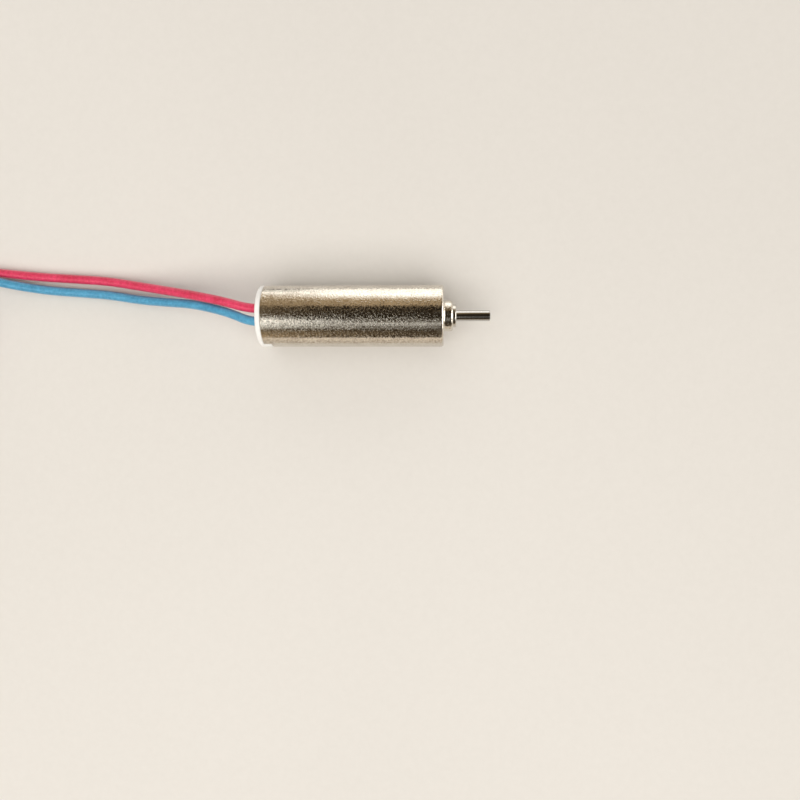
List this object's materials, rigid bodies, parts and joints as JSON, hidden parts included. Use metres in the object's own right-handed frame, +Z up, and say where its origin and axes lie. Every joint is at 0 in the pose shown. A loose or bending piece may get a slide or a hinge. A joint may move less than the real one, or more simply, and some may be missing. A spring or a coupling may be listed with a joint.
{
  "type": "coreless micro motor",
  "caption": "Small cylindrical coreless DC motor with a satin metal can, stepped front boss, plain thin shaft, white end cap and a red and a blue lead.",
  "frame": {"origin": "on the motor's axis, in the plane of the can's front face, from which the shaft's 3 mm projection is measured", "axes": "+X along the shaft towards its free end, +Z up from the surface that the motor lies on, +Y towards the red lead's hole in the end cap"},
  "size_m": [0.043, 0.0084, 0.004],
  "materials": {
    "can": "satin nickel plate, fine grain",
    "tube": "smooth machined",
    "shaft": "ground and polished steel",
    "sintered_bronze": "matt sintered bronze",
    "magnet": "nickel-plated sintered magnet",
    "cap": "white moulded plastic",
    "contact_alloy": "bright contact alloy",
    "solder": "bright tin",
    "copper": "enamelled copper wire in resin",
    "rotor_plastic": "black moulded plastic",
    "insulation_red": "soft satin insulation",
    "insulation_blue": "soft satin insulation",
    "tie": "white coated band"
  },
  "bodies": {
    "stator": {"can": "can", "bearing_tube": "tube", "front_bearing": "sintered_bronze", "rear_bearing": "sintered_bronze", "magnet": "magnet", "end_cap": "cap", "thrust_plate": "tube", "brush_red": "contact_alloy", "terminal_red": "contact_alloy", "solder_joint_red": "solder", "brush_blue": "contact_alloy", "terminal_blue": "contact_alloy", "solder_joint_blue": "solder", "lead_red": "insulation_red", "lead_coil_red": "insulation_red", "lead_tip_red": "solder", "lead_blue": "insulation_blue", "lead_coil_blue": "insulation_blue", "lead_tip_blue": "solder", "lead_tie": "tie"},
    "rotor": {"shaft": "shaft", "rotor_hub": "rotor_plastic", "winding": "copper", "thrust_washer": "rotor_plastic", "commutator_segment_1": "contact_alloy", "commutator_segment_2": "contact_alloy", "commutator_segment_3": "contact_alloy", "winding_tap_1": "copper", "winding_tap_2": "copper", "winding_tap_3": "copper", "tap_solder_1": "solder", "tap_solder_2": "solder", "tap_solder_3": "solder"}
  },
  "joints": [
    {"name": "rotor_spin", "type": "hinge", "parent": "stator", "child": "rotor", "pos_m": [0, 0, 0], "axis": [1, 0, 0], "continuous": true}
  ]
}
